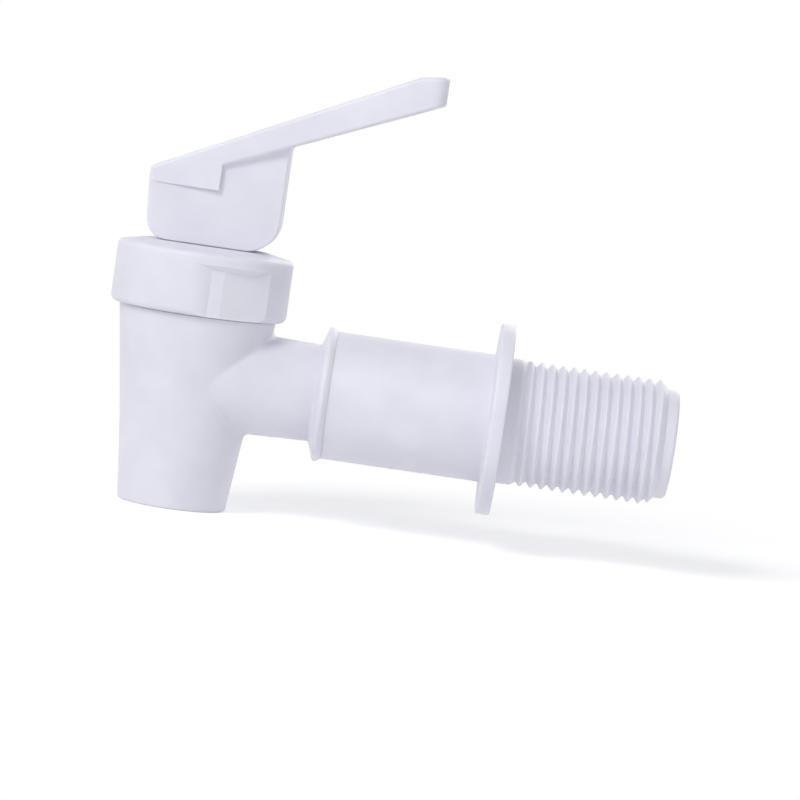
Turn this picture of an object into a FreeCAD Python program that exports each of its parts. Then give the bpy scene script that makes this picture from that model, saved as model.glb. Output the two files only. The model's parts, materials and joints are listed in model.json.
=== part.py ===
"""Lever dispenser tap: a moulded spigot with a cam lever, a screw bonnet and a threaded inlet.

Millimetres, +Z up. The origin is the centre of the flange's back face, on the inlet axis.
+X runs along the thread, away from the spout. The valve axis is vertical, at x = VALVE_X.
Heights are measured from the inlet axis.
"""
import FreeCAD, Part
import math
import os

# Inlet: bore, walls and lengths along X
INLET_BORE_RADIUS = 6.0
PASSAGE_STEP = 0.5              # the body's passage below the inlet bore
STUB_WALL = 2.6
STUB_LENGTH = 21.2              # valve axis to the collar
STUB_SIDE_FLARE = 3.4           # stub's half width at the valve axis, beyond its end
STUB_RISE_FLARE = 0.65          # stub's half height at the valve axis, beyond its end
STUB_FILLET = 1.0               # stub into the body
COLLAR_HEIGHT = 0.55            # collar above the sleeve
COLLAR_WIDTH = 2.5
COLLAR_RISE = 1.1               # stub to the collar's crest
COLLAR_CREST = 0.6
COLLAR_EDGE = 0.4
COLLAR_FILLET = 0.5             # collar into the stub
SPIGOT_WALL = 3.1
SPIGOT_LENGTH = 10.6
SPIGOT_CLEARANCE = 0.08         # radial, spigot in its socket
SPIGOT_END_GAP = 0.3
SPIGOT_LEAD = 0.5               # chamfer on the spigot's end
SNAP_HEIGHT = 0.35
SNAP_WIDTH = 1.4
SNAP_OFFSET = 2.6               # collar to the snap bead
RING_SECTION = 1.5              # seal ring as fitted
RING_CLEARANCE = 0.02
GROOVE_WIDTH = 2.0
GROOVE_OFFSET = 2.4             # spigot end to the groove
SOCKET_WALL = 2.02
SLEEVE_LENGTH = 26.7            # joint line to the flange
FLANGE_WIDTH = 5.3              # flange above the sleeve
FLANGE_THICKNESS = 2.4
FLANGE_EDGE = 0.35
FLANGE_FILLET = 0.6
THREAD_RADIUS = 10.4775         # crest of a half-inch parallel pipe thread
THREAD_LENGTH = 25.9
PILOT_STEP = 1.38               # pilot tip below the thread crest
PILOT_LENGTH = 2.6
PILOT_EDGE = 0.6

# Valve body: seat, chamber, spout and neck
SEAT_BORE_RADIUS = 4.8
SEAT_LIP_WIDTH = 1.2
SEAT_LIP_HEIGHT = 1.4
SEAT_LIP_EDGE = 0.3
SEAT_WEB = 2.2
FLOOR_DROP = 2.8                # chamber floor below the passage
CHAMBER_FLOOR_RADIUS = 8.4
CHAMBER_DRAFT = 1.2             # chamber mouth radius above its floor radius
WAIST_WALL = 2.1
WAIST_BLEND = 70.0              # radius of the body's concave flank
SPOUT_BORE_RADIUS = 7.2
SPOUT_WALL = 1.85
SPOUT_LENGTH = 11.3             # seat web to the mouth
SPOUT_EDGE = 0.45
SHOULDER_RISE = 2.45            # shoulder above the stub
SHOULDER_WIDTH = 1.1
NECK_WALL = 2.4
NECK_HEIGHT = 6.65

# Bonnet cap
CAP_GAP = 0.12                  # shoulder to the cap's skirt
CAP_CLEARANCE = 0.15            # radial, skirt round the neck
CAP_WALL = 2.55
CAP_TOP_THICKNESS = 3.25
CAP_CROWN = 0.9                 # flat top above the rim
CAP_BEVEL = 4.5                 # rim to the flat top
CAP_TOP_EDGE = 0.9
CAP_BOTTOM_EDGE = 1.1
GRIP_COUNT = 2
GRIP_START = -4.0               # degrees from the -Y side towards +X
GRIP_SIDE_SPAN = 13.0           # degrees, rounded side down to the thumb strip
GRIP_SIDE_SAG = 0.3             # share of the depth at the middle of that side
GRIP_STRIP_SPAN = 9.0           # degrees, thumb strip
GRIP_SPAN = 56.0                # degrees, with the flat that runs out to the skirt
GRIP_DEPTH = 0.8
GRIP_TOP_BAND = 1.7             # full rim above each grip
GUIDE_WALL = 1.0                # tube that guides the stem
GUIDE_LENGTH = 4.0

# Seat cup, a soft bell with a solid plug
CUP_WALL = 0.9
CUP_RIM_THICKNESS = 1.4
CUP_RIM_MARGIN = 0.3            # rim short of the skirt
PLUG_OVERLAP = 0.8              # plug beyond the seat lip
PLUG_SOLE = 1.6
PLUG_EDGE = 0.5
PLUG_LIP = 0.8                  # lip over the stem's foot
CUP_BEND = 4.0

# Stem, washer and spring
STEM_RADIUS = 2.5
STEM_CLEARANCE = 0.08           # radial, stem in the cap
FOOT_RADIUS = 3.4
FOOT_THICKNESS = 1.5
FOOT_WAIST = 2.0
FOOT_CLEARANCE = 0.1
STEM_COLLAR_RADIUS = 4.6
STEM_COLLAR_THICKNESS = 1.5
WASHER_THICKNESS = 0.8
WASHER_BORE_CLEARANCE = 0.1
WASHER_MARGIN = 0.3             # washer beyond the spring
WIRE_RADIUS = 0.4
SPRING_GUIDE_CLEARANCE = 0.25   # coil to the guide tube
SPRING_END_GAP = 0.03
END_TURN_PITCH = 1.3
ACTIVE_TURNS = 6

# Lever
LEVER_GAP = 0.08                # cam above the cap
LEVER_WIDTH = 12.0
LEVER_FRONT = 10.65             # valve axis to the nose
NOSE_LEAN = 0.7                 # nose's foot behind its top
LEVER_BACK = 11.7               # valve axis to the cam's back
NOSE_RADIUS = 3.6
CAM_RADIUS = 5.3
LEVER_EDGE = 0.6
CAM_EDGE = 0.3
BACK_FILLET = 0.9
PADDLE_HEIGHT = 17.07           # top above the cap, at the valve axis
PADDLE_TOP_ANGLE = 26.1
PADDLE_DEPTH = 4.07             # top to underside, at the valve axis
PADDLE_UNDER_ANGLE = 23.2
PADDLE_REACH = 36.0             # valve axis to the tip
PADDLE_TIP_WIDTH = 20.0
PADDLE_TIP_ROUND = 2.4          # corners of the tip in plan
TIP_BEND_LENGTH = 4.6           # tip to where its top bends down
TIP_BEND_RADIUS = 7.0
TIP_ANGLE = 8.0                 # top of the tip
CHEEK_HEIGHT = 9.4              # underside of the cheeks above the cap
CHEEK_END = 1.0
CORE_WALL = 1.9
CORE_RIB = 1.6
CORE_CORNER = 0.8
TRUNNION_RADIUS = 1.6
TRUNNION_LENGTH = 2.0
TRUNNION_CLEARANCE = 0.06
SLOT_CLEARANCE = 0.2            # lever slot beside the stem
LEVER_TRAVEL = 25.0             # degrees, pressed fully down

# Modelling margins
OVERCUT = 1.0                   # cutters reach past the solid
NEAR = 0.001                    # tolerance when edges are picked
SPRING_PROBE = 0.02             # turns, to find the wire's direction
SPRING_SAMPLES = 48             # points in one turn, to measure the gap

# Places that follow from the sizes
PASSAGE_RADIUS = INLET_BORE_RADIUS - PASSAGE_STEP
STUB_RADIUS = PASSAGE_RADIUS + STUB_WALL
SPIGOT_RADIUS = PASSAGE_RADIUS + SPIGOT_WALL
SOCKET_RADIUS = SPIGOT_RADIUS + SPIGOT_CLEARANCE
SLEEVE_RADIUS = SOCKET_RADIUS + SOCKET_WALL
COLLAR_RADIUS = SLEEVE_RADIUS + COLLAR_HEIGHT
FLANGE_RADIUS = SLEEVE_RADIUS + FLANGE_WIDTH
PILOT_RADIUS = THREAD_RADIUS - PILOT_STEP
SLEEVE_X = -(FLANGE_THICKNESS + SLEEVE_LENGTH)
COLLAR_X = SLEEVE_X - COLLAR_WIDTH
VALVE_X = COLLAR_X - STUB_LENGTH
SPIGOT_END_X = SLEEVE_X + SPIGOT_LENGTH
GROOVE_X = SPIGOT_END_X - GROOVE_OFFSET - GROOVE_WIDTH / 2

FLOOR_Z = -(PASSAGE_RADIUS + FLOOR_DROP)
SEAT_Z = FLOOR_Z + SEAT_LIP_HEIGHT
WEB_Z = FLOOR_Z - SEAT_WEB
MOUTH_Z = WEB_Z - SPOUT_LENGTH
SHOULDER_Z = STUB_RADIUS + SHOULDER_RISE
NECK_TOP_Z = SHOULDER_Z + NECK_HEIGHT
CEILING_Z = NECK_TOP_Z + CUP_RIM_THICKNESS
CAP_BOTTOM_Z = SHOULDER_Z + CAP_GAP
CAP_TOP_Z = CEILING_Z + CAP_TOP_THICKNESS
CAP_RIM_Z = CAP_TOP_Z - CAP_CROWN
CHAMBER_MOUTH_RADIUS = CHAMBER_FLOOR_RADIUS + CHAMBER_DRAFT
NECK_RADIUS = CHAMBER_MOUTH_RADIUS + NECK_WALL
BODY_RADIUS = NECK_RADIUS + SHOULDER_WIDTH
WAIST_RADIUS = CHAMBER_FLOOR_RADIUS + WAIST_WALL
SPOUT_RADIUS = SPOUT_BORE_RADIUS + SPOUT_WALL
SKIRT_RADIUS = NECK_RADIUS + CAP_CLEARANCE
CAP_RADIUS = SKIRT_RADIUS + CAP_WALL

PLUG_RADIUS = SEAT_BORE_RADIUS + SEAT_LIP_WIDTH + PLUG_OVERLAP
FOOT_Z = SEAT_Z + PLUG_SOLE + FOOT_CLEARANCE
PLUG_LIP_Z = FOOT_Z + FOOT_THICKNESS + FOOT_CLEARANCE
PLUG_TOP_Z = PLUG_LIP_Z + PLUG_LIP
STEM_COLLAR_Z = PLUG_TOP_Z + FOOT_CLEARANCE
WASHER_Z = STEM_COLLAR_Z + STEM_COLLAR_THICKNESS
SPRING_Z = WASHER_Z + WASHER_THICKNESS
GUIDE_BORE_RADIUS = STEM_RADIUS + STEM_CLEARANCE
GUIDE_RADIUS = GUIDE_BORE_RADIUS + GUIDE_WALL
COIL_RADIUS = GUIDE_RADIUS + SPRING_GUIDE_CLEARANCE + WIRE_RADIUS
WASHER_RADIUS = COIL_RADIUS + WIRE_RADIUS + WASHER_MARGIN
PIVOT_Z = CAP_TOP_Z + LEVER_GAP + CAM_RADIUS

X_AXIS = FreeCAD.Vector(1, 0, 0)
Y_AXIS = FreeCAD.Vector(0, 1, 0)
Z_AXIS = FreeCAD.Vector(0, 0, 1)
ORIGIN = FreeCAD.Vector(0, 0, 0)
VALVE_ORIGIN = FreeCAD.Vector(VALVE_X, 0, 0)


def on_inlet(x, radius):
    """Point of an outline that turns about the inlet axis."""
    return FreeCAD.Vector(x, 0, radius)


def on_valve(radius, z):
    """Point of an outline that turns about the valve axis."""
    return FreeCAD.Vector(VALVE_X + radius, 0, z)


def on_lever_side(x, z):
    """Point of the lever's side outline, from the valve axis and the cap's top."""
    return FreeCAD.Vector(VALVE_X + x, 0, CAP_TOP_Z + z)


def on_lever_plan(x, y):
    """Point of the lever's plan outline, from the valve axis."""
    return FreeCAD.Vector(VALVE_X + x, y, 0)


def corner_arc(before, corner, after, radius):
    """Start, middle and end of the arc that rounds a corner between two straight edges."""
    back = (before - corner).normalize()
    ahead = (after - corner).normalize()
    half = back.getAngle(ahead) / 2
    reach = radius / math.tan(half)
    bisector = (back + ahead).normalize()
    middle = corner + bisector * (radius / math.sin(half) - radius)
    return corner + back * reach, middle, corner + ahead * reach


def outline_face(corners, place):
    """Face inside corners (u, v) or (u, v, radius), the latter rounded by a tangent arc."""
    points = [place(corner[0], corner[1]) for corner in corners]
    count = len(corners)
    stops = []
    arcs = []
    for index, corner in enumerate(corners):
        if len(corner) == 3:
            start, middle, end = corner_arc(
                points[index - 1], points[index], points[(index + 1) % count], corner[2])
            arcs.append(Part.Arc(start, middle, end).toShape())
            stops.append((start, end))
        else:
            arcs.append(None)
            stops.append((points[index], points[index]))
    edges = []
    for index in range(count):
        if arcs[index]:
            edges.append(arcs[index])
        leave = stops[index][1]
        arrive = stops[(index + 1) % count][0]
        if leave.distanceToPoint(arrive) > NEAR:
            edges.append(Part.LineSegment(leave, arrive).toShape())
    return Part.Face(Part.Wire(edges))


def turned_on_inlet(corners):
    """Solid of an outline (x, radius) turned about the inlet axis."""
    return outline_face(corners, on_inlet).revolve(ORIGIN, X_AXIS, 360)


def turned_on_valve(corners):
    """Solid of an outline (radius, z) turned about the valve axis."""
    return outline_face(corners, on_valve).revolve(VALVE_ORIGIN, Z_AXIS, 360)


def across(corners, width):
    """Prism of a lever side outline, centred on the lever's middle plane."""
    prism = outline_face(corners, on_lever_side).extrude(Y_AXIS * width)
    return prism.translated(Y_AXIS * (-width / 2))


def valve_cylinder(radius, bottom, top):
    """Upright cylinder on the valve axis."""
    return Part.makeCylinder(radius, top - bottom, FreeCAD.Vector(VALVE_X, 0, bottom), Z_AXIS)


def inlet_cylinder(radius, start, end):
    """Level cylinder on the inlet axis."""
    return Part.makeCylinder(radius, end - start, FreeCAD.Vector(start, 0, 0), X_AXIS)


def make_valve_body():
    """Tapered body with spout, seat and neck, and the stub, collar and spigot at its side."""
    shell = turned_on_valve([
        (0, MOUTH_Z), (SPOUT_RADIUS, MOUTH_Z, SPOUT_EDGE), (WAIST_RADIUS, FLOOR_Z, WAIST_BLEND),
        (BODY_RADIUS, SHOULDER_Z), (NECK_RADIUS, SHOULDER_Z), (NECK_RADIUS, NECK_TOP_Z),
        (0, NECK_TOP_Z)])
    body = shell.fuse(make_stub())
    joint_edges = [edge for edge in body.Edges if is_stub_joint(edge)]
    body = body.makeFillet(STUB_FILLET, joint_edges)
    body = body.fuse(make_spigot())
    seat_ring = turned_on_valve([
        (0, WEB_Z), (CHAMBER_FLOOR_RADIUS, WEB_Z), (CHAMBER_FLOOR_RADIUS, FLOOR_Z),
        (SEAT_BORE_RADIUS + SEAT_LIP_WIDTH, FLOOR_Z),
        (SEAT_BORE_RADIUS + SEAT_LIP_WIDTH, SEAT_Z, SEAT_LIP_EDGE), (0, SEAT_Z)])
    chamber = turned_on_valve([
        (0, WEB_Z), (CHAMBER_FLOOR_RADIUS, WEB_Z), (CHAMBER_FLOOR_RADIUS, FLOOR_Z),
        (CHAMBER_MOUTH_RADIUS, NECK_TOP_Z), (0, NECK_TOP_Z)])
    body = body.cut(chamber.cut(seat_ring))
    body = body.cut(valve_cylinder(SEAT_BORE_RADIUS, WEB_Z, SEAT_Z))
    body = body.cut(valve_cylinder(SPOUT_BORE_RADIUS, MOUTH_Z, WEB_Z))
    return body.cut(inlet_cylinder(PASSAGE_RADIUS, VALVE_X, SPIGOT_END_X)).removeSplitter()


def make_stub():
    """Stub that narrows from an oval inside the body to a round end at the collar."""
    root_half_width = STUB_RADIUS + STUB_SIDE_FLARE
    root_half_height = STUB_RADIUS + STUB_RISE_FLARE
    root = Part.Ellipse(
        VALVE_ORIGIN + Y_AXIS * root_half_width, VALVE_ORIGIN + Z_AXIS * root_half_height, VALVE_ORIGIN)
    end = Part.Circle(FreeCAD.Vector(COLLAR_X, 0, 0), X_AXIS, STUB_RADIUS)
    end.XAxis = Y_AXIS
    return Part.makeLoft([Part.Wire(root.toShape()), Part.Wire(end.toShape())], True, True)


def is_stub_joint(edge):
    """True for the edges where the stub runs into the tapered body."""
    box = edge.BoundBox
    inside = VALVE_X + STUB_FILLET < box.XMin and box.XMax < COLLAR_X - STUB_WALL
    return inside and box.XLength > NEAR and box.YLength > NEAR and box.ZMax < SHOULDER_Z - NEAR


def make_spigot():
    """Collar, and the spigot behind it with its snap bead and seal groove."""
    crest_x = COLLAR_X + COLLAR_RISE
    groove_floor = SOCKET_RADIUS - RING_SECTION
    snap_radius = SPIGOT_RADIUS + SNAP_HEIGHT
    snap_x = SLEEVE_X + SNAP_OFFSET
    spigot = turned_on_inlet([
        (COLLAR_X - COLLAR_FILLET * 2, 0), (COLLAR_X - COLLAR_FILLET * 2, STUB_RADIUS),
        (COLLAR_X, STUB_RADIUS, COLLAR_FILLET), (crest_x, COLLAR_RADIUS, COLLAR_EDGE),
        (crest_x + COLLAR_CREST, COLLAR_RADIUS, COLLAR_EDGE), (SLEEVE_X, SLEEVE_RADIUS),
        (SLEEVE_X, SPIGOT_RADIUS), (snap_x, SPIGOT_RADIUS),
        (snap_x + SNAP_HEIGHT, snap_radius), (snap_x + SNAP_WIDTH - SNAP_HEIGHT, snap_radius),
        (snap_x + SNAP_WIDTH, SPIGOT_RADIUS), (SPIGOT_END_X - SPIGOT_LEAD, SPIGOT_RADIUS),
        (SPIGOT_END_X, SPIGOT_RADIUS - SPIGOT_LEAD), (SPIGOT_END_X, 0)])
    groove = inlet_cylinder(
        SPIGOT_RADIUS + OVERCUT, GROOVE_X - GROOVE_WIDTH / 2, GROOVE_X + GROOVE_WIDTH / 2)
    core = inlet_cylinder(groove_floor, GROOVE_X - GROOVE_WIDTH, GROOVE_X + GROOVE_WIDTH)
    return spigot.cut(groove.cut(core))


def make_inlet_nipple():
    """Sleeve with its socket, the flange, and the tail that carries the thread."""
    tip_x = THREAD_LENGTH + PILOT_LENGTH
    outside = turned_on_inlet([
        (SLEEVE_X, 0), (SLEEVE_X, SLEEVE_RADIUS),
        (-FLANGE_THICKNESS, SLEEVE_RADIUS, FLANGE_FILLET), (-FLANGE_THICKNESS, FLANGE_RADIUS, FLANGE_EDGE),
        (0, FLANGE_RADIUS, FLANGE_EDGE), (0, THREAD_RADIUS), (THREAD_LENGTH, THREAD_RADIUS),
        (THREAD_LENGTH + PILOT_STEP / 2, PILOT_RADIUS), (tip_x, PILOT_RADIUS, PILOT_EDGE), (tip_x, 0)])
    snap_x = SLEEVE_X + SNAP_OFFSET
    snap_radius = SOCKET_RADIUS + SNAP_HEIGHT
    socket_end = SPIGOT_END_X + SPIGOT_END_GAP
    socket = turned_on_inlet([
        (SLEEVE_X, 0), (SLEEVE_X, SOCKET_RADIUS), (snap_x, SOCKET_RADIUS),
        (snap_x + SNAP_HEIGHT, snap_radius), (snap_x + SNAP_WIDTH - SNAP_HEIGHT, snap_radius),
        (snap_x + SNAP_WIDTH, SOCKET_RADIUS), (socket_end, SOCKET_RADIUS), (socket_end, 0)])
    return outside.cut(socket).cut(inlet_cylinder(INLET_BORE_RADIUS, SLEEVE_X, tip_x))


def make_joint_o_ring():
    """Seal ring in the spigot's groove."""
    section = RING_SECTION / 2 - RING_CLEARANCE
    middle = SOCKET_RADIUS - RING_SECTION / 2
    return Part.makeTorus(middle, section, FreeCAD.Vector(GROOVE_X, 0, 0), X_AXIS)


def make_bonnet_cap():
    """Screw cap with a stem guide inside and finger grips round its skirt."""
    cap = turned_on_valve([
        (GUIDE_BORE_RADIUS, CEILING_Z - GUIDE_LENGTH), (GUIDE_RADIUS, CEILING_Z - GUIDE_LENGTH),
        (GUIDE_RADIUS, CEILING_Z), (SKIRT_RADIUS, CEILING_Z), (SKIRT_RADIUS, CAP_BOTTOM_Z),
        (CAP_RADIUS, CAP_BOTTOM_Z, CAP_BOTTOM_EDGE), (CAP_RADIUS, CAP_RIM_Z, CAP_TOP_EDGE),
        (CAP_RADIUS - CAP_BEVEL, CAP_TOP_Z), (GUIDE_BORE_RADIUS, CAP_TOP_Z)])
    for index in range(GRIP_COUNT):
        cap = cap.cut(make_grip(GRIP_START + index * 360 / GRIP_COUNT))
    return cap


def grip_point(place):
    """Point of a grip's plan at a radius and an angle from the -Y side towards +X."""
    radius, angle = place
    turn = math.radians(angle - 90)
    return FreeCAD.Vector(VALVE_X + radius * math.cos(turn), radius * math.sin(turn), SHOULDER_Z)


def grip_arc(start, middle, end):
    """Arc of a grip's plan."""
    return Part.Arc(grip_point(start), grip_point(middle), grip_point(end)).toShape()


def grip_line(start, end):
    """Straight edge of a grip's plan."""
    return Part.LineSegment(grip_point(start), grip_point(end)).toShape()


def make_grip(start):
    """Cutter for one finger grip: a rounded side, a thumb strip and a flat that runs out."""
    floor = CAP_RADIUS - GRIP_DEPTH
    beyond = CAP_RADIUS + GRIP_DEPTH
    side = CAP_RADIUS - GRIP_DEPTH * GRIP_SIDE_SAG
    strip = start + GRIP_SIDE_SPAN
    flat = strip + GRIP_STRIP_SPAN
    end = start + GRIP_SPAN
    plan = Part.Face(Part.Wire([
        grip_arc((CAP_RADIUS, start), (side, (start + strip) / 2), (floor, strip)),
        grip_arc((floor, strip), (floor, (strip + flat) / 2), (floor, flat)),
        grip_line((floor, flat), (CAP_RADIUS, end)),
        grip_line((CAP_RADIUS, end), (beyond, end)),
        grip_arc((beyond, end), (beyond, (start + end) / 2), (beyond, start)),
        grip_line((beyond, start), (CAP_RADIUS, start))]))
    top = CAP_RIM_Z - GRIP_TOP_BAND
    under_rim = turned_on_valve([
        (SKIRT_RADIUS, SHOULDER_Z), (beyond, SHOULDER_Z), (beyond, top + GRIP_DEPTH),
        (SKIRT_RADIUS, top - CAP_WALL)])
    return plan.extrude(Z_AXIS * (CAP_TOP_Z - SHOULDER_Z)).common(under_rim)


def make_seat_cup():
    """Soft bell: a rim held under the cap, a thin wall and a plug that closes the seat."""
    inner = PLUG_RADIUS - CUP_WALL
    bend_z = NECK_TOP_Z - CUP_BEND
    rim = SKIRT_RADIUS - CUP_RIM_MARGIN
    throat = CHAMBER_MOUTH_RADIUS - CUP_RIM_MARGIN
    return turned_on_valve([
        (0, SEAT_Z), (PLUG_RADIUS, SEAT_Z, PLUG_EDGE), (PLUG_RADIUS, bend_z, CUP_BEND),
        (throat, NECK_TOP_Z), (rim, NECK_TOP_Z), (rim, CEILING_Z), (throat - CUP_WALL, CEILING_Z),
        (inner, bend_z + CUP_RIM_THICKNESS, CUP_BEND), (inner, PLUG_TOP_Z),
        (FOOT_WAIST + FOOT_CLEARANCE, PLUG_TOP_Z), (FOOT_WAIST + FOOT_CLEARANCE, PLUG_LIP_Z),
        (FOOT_RADIUS + FOOT_CLEARANCE, PLUG_LIP_Z), (FOOT_RADIUS + FOOT_CLEARANCE, SEAT_Z + PLUG_SOLE),
        (0, SEAT_Z + PLUG_SOLE)])


def make_valve_stem():
    """Stem with a mushroom foot, a spring collar and trunnions at its domed head."""
    shaft = turned_on_valve([
        (0, FOOT_Z), (FOOT_RADIUS, FOOT_Z), (FOOT_RADIUS, FOOT_Z + FOOT_THICKNESS),
        (FOOT_WAIST, FOOT_Z + FOOT_THICKNESS), (FOOT_WAIST, STEM_COLLAR_Z),
        (STEM_COLLAR_RADIUS, STEM_COLLAR_Z), (STEM_COLLAR_RADIUS, WASHER_Z), (STEM_RADIUS, WASHER_Z),
        (STEM_RADIUS, PIVOT_Z), (0, PIVOT_Z)])
    pivot = FreeCAD.Vector(VALVE_X, 0, PIVOT_Z)
    head = Part.makeSphere(STEM_RADIUS, pivot)
    reach = STEM_RADIUS + SLOT_CLEARANCE + TRUNNION_LENGTH
    bar = Part.makeCylinder(TRUNNION_RADIUS, 2 * reach, pivot - Y_AXIS * reach, Y_AXIS)
    return shaft.fuse(head).fuse(bar).removeSplitter()


def make_spring_washer():
    """Washer between the stem's collar and the spring."""
    return turned_on_valve([
        (STEM_RADIUS + WASHER_BORE_CLEARANCE, WASHER_Z), (WASHER_RADIUS, WASHER_Z),
        (WASHER_RADIUS, SPRING_Z), (STEM_RADIUS + WASHER_BORE_CLEARANCE, SPRING_Z)])


def spring_point(turn):
    """Middle of the wire after a number of turns, with a close turn at each end."""
    bottom = SPRING_Z + SPRING_END_GAP + WIRE_RADIUS
    rise = CEILING_Z - SPRING_END_GAP - WIRE_RADIUS - bottom
    active_pitch = (rise - 2 * END_TURN_PITCH) / ACTIVE_TURNS
    close_below = min(turn, 1)
    close_above = max(turn - 1 - ACTIVE_TURNS, 0)
    height = (close_below + close_above) * END_TURN_PITCH
    height += (turn - close_below - close_above) * active_pitch
    angle = 2 * math.pi * turn
    return FreeCAD.Vector(
        VALVE_X + COIL_RADIUS * math.cos(angle), COIL_RADIUS * math.sin(angle), bottom + height)


def spring_direction(turn):
    """Direction of the wire after a number of turns."""
    return (spring_point(turn + SPRING_PROBE) - spring_point(turn - SPRING_PROBE)).normalize()


def tangent_arc(start, control, end):
    """Arc from start to end whose end tangents meet at the control point."""
    chord_middle = (start + end) / 2
    half_chord = start.distanceToPoint(end) / 2
    turn = math.acos(half_chord / start.distanceToPoint(control))
    share = math.tan(turn / 2) / math.tan(turn)
    return Part.Arc(start, chord_middle + (control - chord_middle) * share, end).toShape()


def biarc(start, leave, end, arrive):
    """Two tangent arcs from one point and direction to the next."""
    chord = end - start
    both = leave + arrive
    a = both.dot(both) - 4
    b = -2 * chord.dot(both)
    c = chord.dot(chord)
    reach = (-b - math.sqrt(b * b - 4 * a * c)) / (2 * a)
    if reach < 0:
        reach = (-b + math.sqrt(b * b - 4 * a * c)) / (2 * a)
    first = start + leave * reach
    second = end - arrive * reach
    joint = (first + second) / 2
    return [tangent_arc(start, first, joint), tangent_arc(joint, second, end)]


def make_return_spring():
    """Compression spring, one unbroken wire on quarter turns."""
    quarters = 4 * (ACTIVE_TURNS + 2)
    edges = []
    for quarter in range(quarters):
        start = quarter / 4
        end = (quarter + 1) / 4
        edges += biarc(
            spring_point(start), spring_direction(start), spring_point(end), spring_direction(end))
    path = Part.Wire(edges)
    ring = Part.Circle(spring_point(0), spring_direction(0), WIRE_RADIUS).toShape()
    wire = path.makePipeShell([Part.Wire(ring)], True, False)
    print("spring length", round(path.Length, 2), "volume share",
          round(wire.Volume / (path.Length * math.pi * WIRE_RADIUS ** 2), 4))
    print("spring least gap to itself", round(spring_gap(quarters / 4), 3))
    return wire


def spring_gap(turns):
    """Least clear distance between neighbouring turns, measured on points."""
    count = int(turns * SPRING_SAMPLES)
    points = [spring_point(index / SPRING_SAMPLES) for index in range(count + 1)]
    least = COIL_RADIUS
    for first in range(len(points)):
        for second in range(first + SPRING_SAMPLES // 2, len(points)):
            least = min(least, points[first].distanceToPoint(points[second]))
    return least - 2 * WIRE_RADIUS


def paddle_top(x):
    """Height of the paddle's top above the cap."""
    return PADDLE_HEIGHT + x * math.tan(math.radians(PADDLE_TOP_ANGLE))


def paddle_under(x):
    """Height of the paddle's underside above the cap."""
    return PADDLE_HEIGHT - PADDLE_DEPTH + x * math.tan(math.radians(PADDLE_UNDER_ANGLE))


def paddle_plan(inset, corner):
    """Plan of the paddle, flaring from the nose to a tip with rounded corners."""
    nose = LEVER_WIDTH / 2 - inset
    tip = PADDLE_TIP_WIDTH / 2 - inset
    reach = PADDLE_REACH - inset
    plan = outline_face([
        (-LEVER_FRONT, -nose), (reach, -tip, corner), (reach, tip, corner), (-LEVER_FRONT, nose)],
        on_lever_plan)
    top = CAP_TOP_Z + paddle_top(PADDLE_REACH)
    return plan.extrude(Z_AXIS * (top + PADDLE_HEIGHT))


def make_paddle():
    """Flared paddle with cheeks over the block, cored from below and ribbed."""
    bend = PADDLE_REACH - TIP_BEND_LENGTH
    tip_top = paddle_top(bend) + TIP_BEND_LENGTH * math.tan(math.radians(TIP_ANGLE))
    solid = across([
        (-LEVER_FRONT, CHEEK_HEIGHT), (CHEEK_END, CHEEK_HEIGHT), (CHEEK_END, paddle_under(CHEEK_END)),
        (PADDLE_REACH, paddle_under(PADDLE_REACH)), (PADDLE_REACH, tip_top),
        (bend, paddle_top(bend), TIP_BEND_RADIUS), (-LEVER_FRONT, paddle_top(-LEVER_FRONT))],
        2 * PADDLE_TIP_WIDTH)
    paddle = solid.common(paddle_plan(0, PADDLE_TIP_ROUND))
    rounded = [edge for edge in paddle.Edges if is_paddle_rim(edge)]
    paddle = paddle.makeFillet(LEVER_EDGE, rounded)
    core_start = LEVER_BACK + CORE_WALL
    core = across([
        (core_start, paddle_under(core_start) - CORE_WALL),
        (PADDLE_REACH, paddle_under(PADDLE_REACH) - CORE_WALL),
        (PADDLE_REACH, tip_top - CORE_WALL), (bend, paddle_top(bend) - CORE_WALL, TIP_BEND_RADIUS),
        (core_start, paddle_top(core_start) - CORE_WALL)], 2 * PADDLE_TIP_WIDTH)
    rib = across([
        (0, 0), (PADDLE_REACH, 0), (PADDLE_REACH, paddle_top(PADDLE_REACH)), (0, paddle_top(PADDLE_REACH))],
        CORE_RIB)
    return paddle.cut(core.common(paddle_plan(CORE_WALL, CORE_CORNER)).cut(rib))


def is_paddle_rim(edge):
    """True for the edges round the paddle's top, nose and free underside."""
    box = edge.BoundBox
    nose_x = VALVE_X - LEVER_FRONT
    upright = box.XLength < NEAR and box.YLength < NEAR
    if box.XMax < nose_x + NEAR:
        return box.ZMax > CAP_TOP_Z + CHEEK_HEIGHT + NEAR
    in_step = box.XMax < VALVE_X + CHEEK_END + NEAR
    above_step = box.ZMax > CAP_TOP_Z + paddle_under(CHEEK_END) + NEAR
    return above_step and not upright and not (in_step and box.XLength < NEAR)


def is_block_rim(edge):
    """True for the edges of the block's sides that stay clear of the paddle."""
    box = edge.BoundBox
    on_side = box.YLength < NEAR
    return on_side and box.ZMin < CAP_TOP_Z + CHEEK_HEIGHT - NEAR


def is_back_corner(edge):
    """True for the inner edge where the block's back meets the paddle's underside."""
    box = edge.BoundBox
    middle = edge.CenterOfMass
    at_back = abs(middle.x - VALVE_X - LEVER_BACK) < NEAR and box.XLength < NEAR
    return at_back and abs(middle.z - CAP_TOP_Z - paddle_under(LEVER_BACK)) < NEAR


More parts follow.
